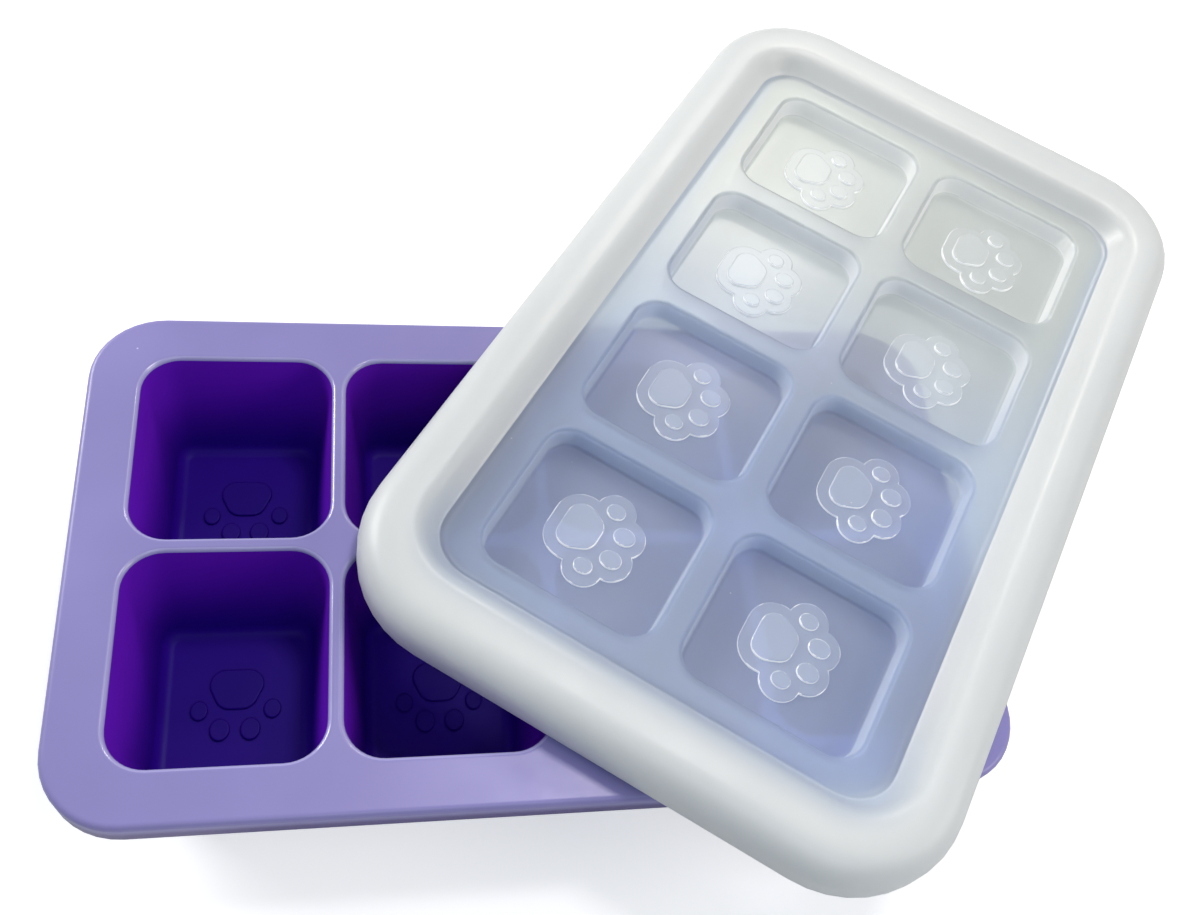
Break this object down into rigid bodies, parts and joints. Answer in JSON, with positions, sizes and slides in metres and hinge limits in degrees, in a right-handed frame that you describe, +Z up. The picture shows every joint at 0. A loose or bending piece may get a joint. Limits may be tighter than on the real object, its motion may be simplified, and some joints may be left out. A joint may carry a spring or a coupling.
{
  "type": "baby food freezer tray",
  "caption": "Soft silicone tray of deep tapered cups with a wide rounded rim, and a translucent press-on lid lying turned across its top.",
  "frame": {"origin": "middle of the whole object's plan box, on the surface that the tray's cups stand on", "axes": "+X along the tray's length, +Y from its front to its back, +Z up, the way the lid lifts off"},
  "size_m": [0.2982, 0.259, 0.051],
  "materials": {
    "tray_silicone": "satin violet silicone, deeper inside the cups",
    "lid_silicone": "frosted translucent silicone, satin"
  },
  "bodies": {
    "tray_body": {"tray_rim": "tray_silicone", "cup_1_front": "tray_silicone", "cup_1_back": "tray_silicone", "cup_2_front": "tray_silicone", "cup_2_back": "tray_silicone", "cup_3_front": "tray_silicone", "cup_3_back": "tray_silicone", "cup_4_front": "tray_silicone", "cup_4_back": "tray_silicone"},
    "lid_body": {"lid_panel": "lid_silicone", "lid_bead": "lid_silicone"}
  },
  "joints": [
    {"name": "lid_lift", "type": "slide", "parent": "tray_body", "child": "lid_body", "axis": [0, 0, 1], "range_m": [0, 0.08]}
  ]
}
